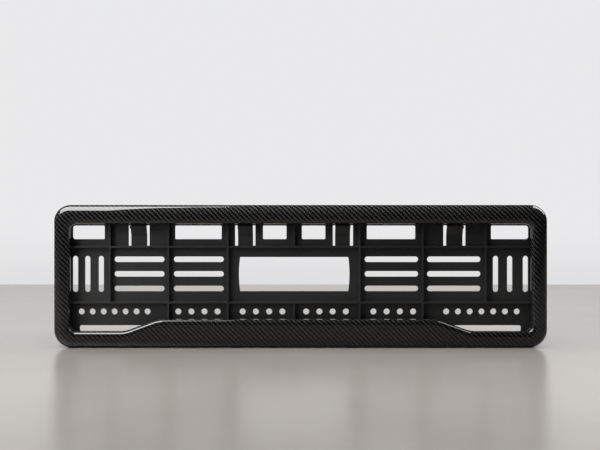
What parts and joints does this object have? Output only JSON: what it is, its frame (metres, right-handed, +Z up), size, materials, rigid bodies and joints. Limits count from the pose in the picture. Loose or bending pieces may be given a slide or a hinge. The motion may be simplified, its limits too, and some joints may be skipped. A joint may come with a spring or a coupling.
{
  "type": "number plate holder",
  "caption": "Upright holder for a long number plate: slotted plastic base with spring tongues, framed by a glossy carbon surround with a raised lower lip.",
  "frame": {"origin": "middle of the bottom edge, halfway through the depth", "axes": "+X to the right seen from the front, +Y towards the car (the rear face), +Z up"},
  "size_m": [0.56, 0.019, 0.162],
  "materials": {
    "base_plastic": "fine moulded texture, satin black",
    "carbon": "clear-coated carbon fibre, twill weave"
  },
  "bodies": {
    "root": {"base_plate": "base_plastic", "carbon_surround": "carbon"}
  },
  "joints": []
}
